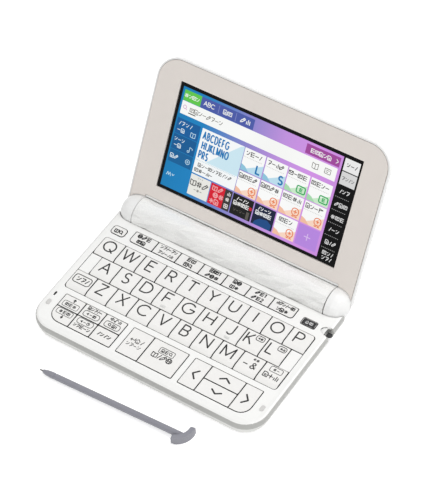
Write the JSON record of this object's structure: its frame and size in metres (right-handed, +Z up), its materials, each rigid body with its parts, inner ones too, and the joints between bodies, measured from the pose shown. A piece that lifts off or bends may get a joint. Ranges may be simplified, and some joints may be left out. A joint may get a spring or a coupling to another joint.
{
  "type": "electronic dictionary",
  "caption": "Handheld electronic dictionary: clamshell with a colour display lid on a barrel hinge, letter keyboard, arrow and scroll keys, and a loose stylus.",
  "frame": {"origin": "middle of the underside of the whole object, lid open and stylus lying in front", "axes": "+X to the user's right, +Y from the front edge to the hinge, +Z up from the table"},
  "size_m": [0.148, 0.1688, 0.0911],
  "materials": {
    "case_grey": "satin moulded plastic",
    "deck_white": "white satin plastic",
    "shell_white": "white glossy plastic",
    "key_white": "white satin keycap plastic",
    "key_black": "black satin plastic",
    "inner_grey": "plain inner plastic",
    "bezel_pink_grey": "fine satin paint, warm pinkish grey",
    "display_glass": "glossy clear cover over a lit colour display",
    "stylus_grey": "satin grey plastic",
    "cell_jacket": "printed cell jacket"
  },
  "bodies": {
    "base": {"bottom_case": "case_grey", "keyboard_deck": "deck_white", "key_guide_plate": "inner_grey", "hinge_barrel": "shell_white", "battery_cells": "cell_jacket", "stylus": "stylus_grey"},
    "lid": {"lid_back_shell": "shell_white", "lid_bezel": "bezel_pink_grey", "display_panel": "display_glass"},
    "battery_cover": {"battery_cover": "deck_white"},
    "key_power": {"key_power": "key_white"},
    "key_function_1": {"key_function_1": "key_white"},
    "key_function_2": {"key_function_2": "key_white"},
    "key_function_3": {"key_function_3": "key_white"},
    "key_function_4": {"key_function_4": "key_white"},
    "key_function_5": {"key_function_5": "key_white"},
    "key_function_6": {"key_function_6": "key_white"},
    "key_function_7": {"key_function_7": "key_white"},
    "key_home": {"key_home": "key_black"},
    "key_q": {"key_q": "key_white"},
    "key_w": {"key_w": "key_white"},
    "key_e": {"key_e": "key_white"},
    "key_r": {"key_r": "key_white"},
    "key_t": {"key_t": "key_white"},
    "key_y": {"key_y": "key_white"},
    "key_u": {"key_u": "key_white"},
    "key_i": {"key_i": "key_white"},
    "key_o": {"key_o": "key_white"},
    "key_p": {"key_p": "key_white"},
    "key_a": {"key_a": "key_white"},
    "key_s": {"key_s": "key_white"},
    "key_d": {"key_d": "key_white"},
    "key_f": {"key_f": "key_white"},
    "key_g": {"key_g": "key_white"},
    "key_h": {"key_h": "key_white"},
    "key_j": {"key_j": "key_white"},
    "key_k": {"key_k": "key_white"},
    "key_l": {"key_l": "key_white"},
    "key_shift": {"key_shift": "key_white"},
    "key_z": {"key_z": "key_white"},
    "key_x": {"key_x": "key_white"},
    "key_c": {"key_c": "key_white"},
    "key_v": {"key_v": "key_white"},
    "key_b": {"key_b": "key_white"},
    "key_n": {"key_n": "key_white"},
    "key_m": {"key_m": "key_white"},
    "key_hyphen": {"key_hyphen": "key_white"},
    "key_delete": {"key_delete": "key_white"},
    "key_scroll_up": {"key_scroll_up": "key_white"},
    "key_character_size": {"key_character_size": "key_white"},
    "key_voice": {"key_voice": "key_white"},
    "key_scroll_down": {"key_scroll_down": "key_white"},
    "key_history": {"key_history": "key_white"},
    "key_jump": {"key_jump": "key_white"},
    "key_back": {"key_back": "key_white"},
    "key_enter": {"key_enter": "key_white"},
    "key_arrow_left": {"key_arrow_left": "key_white"},
    "key_arrow_up": {"key_arrow_up": "key_white"},
    "key_arrow_down": {"key_arrow_down": "key_white"},
    "key_arrow_right": {"key_arrow_right": "key_white"}
  },
  "joints": [
    {"name": "lid_hinge", "type": "hinge", "parent": "base", "child": "lid", "pos_m": [0, 0.03199, 0.01], "axis": [-1, 0, 0], "range_deg": [-120, 40]},
    {"name": "battery_cover_slide", "type": "slide", "parent": "base", "child": "battery_cover", "axis": [0, -1, 0], "range_m": [-0.008, 0]},
    {"name": "key_power_press", "type": "slide", "parent": "base", "child": "key_power", "axis": [0, 0, -1], "range_m": [0, 0.0009], "stiffness_N_per_m": 600},
    {"name": "key_function_1_press", "type": "slide", "parent": "base", "child": "key_function_1", "axis": [0, 0, -1], "range_m": [0, 0.0009], "stiffness_N_per_m": 600},
    {"name": "key_function_2_press", "type": "slide", "parent": "base", "child": "key_function_2", "axis": [0, 0, -1], "range_m": [0, 0.0009], "stiffness_N_per_m": 600},
    {"name": "key_function_3_press", "type": "slide", "parent": "base", "child": "key_function_3", "axis": [0, 0, -1], "range_m": [0, 0.0009], "stiffness_N_per_m": 600},
    {"name": "key_function_4_press", "type": "slide", "parent": "base", "child": "key_function_4", "axis": [0, 0, -1], "range_m": [0, 0.0009], "stiffness_N_per_m": 600},
    {"name": "key_function_5_press", "type": "slide", "parent": "base", "child": "key_function_5", "axis": [0, 0, -1], "range_m": [0, 0.0009], "stiffness_N_per_m": 600},
    {"name": "key_function_6_press", "type": "slide", "parent": "base", "child": "key_function_6", "axis": [0, 0, -1], "range_m": [0, 0.0009], "stiffness_N_per_m": 600},
    {"name": "key_function_7_press", "type": "slide", "parent": "base", "child": "key_function_7", "axis": [0, 0, -1], "range_m": [0, 0.0009], "stiffness_N_per_m": 600},
    {"name": "key_home_press", "type": "slide", "parent": "base", "child": "key_home", "axis": [0, 0, -1], "range_m": [0, 0.0009], "stiffness_N_per_m": 600},
    {"name": "key_q_press", "type": "slide", "parent": "base", "child": "key_q", "axis": [0, 0, -1], "range_m": [0, 0.0009], "stiffness_N_per_m": 600},
    {"name": "key_w_press", "type": "slide", "parent": "base", "child": "key_w", "axis": [0, 0, -1], "range_m": [0, 0.0009], "stiffness_N_per_m": 600},
    {"name": "key_e_press", "type": "slide", "parent": "base", "child": "key_e", "axis": [0, 0, -1], "range_m": [0, 0.0009], "stiffness_N_per_m": 600},
    {"name": "key_r_press", "type": "slide", "parent": "base", "child": "key_r", "axis": [0, 0, -1], "range_m": [0, 0.0009], "stiffness_N_per_m": 600},
    {"name": "key_t_press", "type": "slide", "parent": "base", "child": "key_t", "axis": [0, 0, -1], "range_m": [0, 0.0009], "stiffness_N_per_m": 600},
    {"name": "key_y_press", "type": "slide", "parent": "base", "child": "key_y", "axis": [0, 0, -1], "range_m": [0, 0.0009], "stiffness_N_per_m": 600},
    {"name": "key_u_press", "type": "slide", "parent": "base", "child": "key_u", "axis": [0, 0, -1], "range_m": [0, 0.0009], "stiffness_N_per_m": 600},
    {"name": "key_i_press", "type": "slide", "parent": "base", "child": "key_i", "axis": [0, 0, -1], "range_m": [0, 0.0009], "stiffness_N_per_m": 600},
    {"name": "key_o_press", "type": "slide", "parent": "base", "child": "key_o", "axis": [0, 0, -1], "range_m": [0, 0.0009], "stiffness_N_per_m": 600},
    {"name": "key_p_press", "type": "slide", "parent": "base", "child": "key_p", "axis": [0, 0, -1], "range_m": [0, 0.0009], "stiffness_N_per_m": 600},
    {"name": "key_a_press", "type": "slide", "parent": "base", "child": "key_a", "axis": [0, 0, -1], "range_m": [0, 0.0009], "stiffness_N_per_m": 600},
    {"name": "key_s_press", "type": "slide", "parent": "base", "child": "key_s", "axis": [0, 0, -1], "range_m": [0, 0.0009], "stiffness_N_per_m": 600},
    {"name": "key_d_press", "type": "slide", "parent": "base", "child": "key_d", "axis": [0, 0, -1], "range_m": [0, 0.0009], "stiffness_N_per_m": 600},
    {"name": "key_f_press", "type": "slide", "parent": "base", "child": "key_f", "axis": [0, 0, -1], "range_m": [0, 0.0009], "stiffness_N_per_m": 600},
    {"name": "key_g_press", "type": "slide", "parent": "base", "child": "key_g", "axis": [0, 0, -1], "range_m": [0, 0.0009], "stiffness_N_per_m": 600},
    {"name": "key_h_press", "type": "slide", "parent": "base", "child": "key_h", "axis": [0, 0, -1], "range_m": [0, 0.0009], "stiffness_N_per_m": 600},
    {"name": "key_j_press", "type": "slide", "parent": "base", "child": "key_j", "axis": [0, 0, -1], "range_m": [0, 0.0009], "stiffness_N_per_m": 600},
    {"name": "key_k_press", "type": "slide", "parent": "base", "child": "key_k", "axis": [0, 0, -1], "range_m": [0, 0.0009], "stiffness_N_per_m": 600},
    {"name": "key_l_press", "type": "slide", "parent": "base", "child": "key_l", "axis": [0, 0, -1], "range_m": [0, 0.0009], "stiffness_N_per_m": 600},
    {"name": "key_shift_press", "type": "slide", "parent": "base", "child": "key_shift", "axis": [0, 0, -1], "range_m": [0, 0.0009], "stiffness_N_per_m": 600},
    {"name": "key_z_press", "type": "slide", "parent": "base", "child": "key_z", "axis": [0, 0, -1], "range_m": [0, 0.0009], "stiffness_N_per_m": 600},
    {"name": "key_x_press", "type": "slide", "parent": "base", "child": "key_x", "axis": [0, 0, -1], "range_m": [0, 0.0009], "stiffness_N_per_m": 600},
    {"name": "key_c_press", "type": "slide", "parent": "base", "child": "key_c", "axis": [0, 0, -1], "range_m": [0, 0.0009], "stiffness_N_per_m": 600},
    {"name": "key_v_press", "type": "slide", "parent": "base", "child": "key_v", "axis": [0, 0, -1], "range_m": [0, 0.0009], "stiffness_N_per_m": 600},
    {"name": "key_b_press", "type": "slide", "parent": "base", "child": "key_b", "axis": [0, 0, -1], "range_m": [0, 0.0009], "stiffness_N_per_m": 600},
    {"name": "key_n_press", "type": "slide", "parent": "base", "child": "key_n", "axis": [0, 0, -1], "range_m": [0, 0.0009], "stiffness_N_per_m": 600},
    {"name": "key_m_press", "type": "slide", "parent": "base", "child": "key_m", "axis": [0, 0, -1], "range_m": [0, 0.0009], "stiffness_N_per_m": 600},
    {"name": "key_hyphen_press", "type": "slide", "parent": "base", "child": "key_hyphen", "axis": [0, 0, -1], "range_m": [0, 0.0009], "stiffness_N_per_m": 600},
    {"name": "key_delete_press", "type": "slide", "parent": "base", "child": "key_delete", "axis": [0, 0, -1], "range_m": [0, 0.0009], "stiffness_N_per_m": 600},
    {"name": "key_scroll_up_press", "type": "slide", "parent": "base", "child": "key_scroll_up", "axis": [0, 0, -1], "range_m": [0, 0.0009], "stiffness_N_per_m": 600},
    {"name": "key_character_size_press", "type": "slide", "parent": "base", "child": "key_character_size", "axis": [0, 0, -1], "range_m": [0, 0.0009], "stiffness_N_per_m": 600},
    {"name": "key_voice_press", "type": "slide", "parent": "base", "child": "key_voice", "axis": [0, 0, -1], "range_m": [0, 0.0009], "stiffness_N_per_m": 600},
    {"name": "key_scroll_down_press", "type": "slide", "parent": "base", "child": "key_scroll_down", "axis": [0, 0, -1], "range_m": [0, 0.0009], "stiffness_N_per_m": 600},
    {"name": "key_history_press", "type": "slide", "parent": "base", "child": "key_history", "axis": [0, 0, -1], "range_m": [0, 0.0009], "stiffness_N_per_m": 600},
    {"name": "key_jump_press", "type": "slide", "parent": "base", "child": "key_jump", "axis": [0, 0, -1], "range_m": [0, 0.0009], "stiffness_N_per_m": 600},
    {"name": "key_back_press", "type": "slide", "parent": "base", "child": "key_back", "axis": [0, 0, -1], "range_m": [0, 0.0009], "stiffness_N_per_m": 600},
    {"name": "key_enter_press", "type": "slide", "parent": "base", "child": "key_enter", "axis": [0, 0, -1], "range_m": [0, 0.0009], "stiffness_N_per_m": 600},
    {"name": "key_arrow_left_press", "type": "slide", "parent": "base", "child": "key_arrow_left", "axis": [0, 0, -1], "range_m": [0, 0.0009], "stiffness_N_per_m": 600},
    {"name": "key_arrow_up_press", "type": "slide", "parent": "base", "child": "key_arrow_up", "axis": [0, 0, -1], "range_m": [0, 0.0009], "stiffness_N_per_m": 600},
    {"name": "key_arrow_down_press", "type": "slide", "parent": "base", "child": "key_arrow_down", "axis": [0, 0, -1], "range_m": [0, 0.0009], "stiffness_N_per_m": 600},
    {"name": "key_arrow_right_press", "type": "slide", "parent": "base", "child": "key_arrow_right", "axis": [0, 0, -1], "range_m": [0, 0.0009], "stiffness_N_per_m": 600}
  ]
}
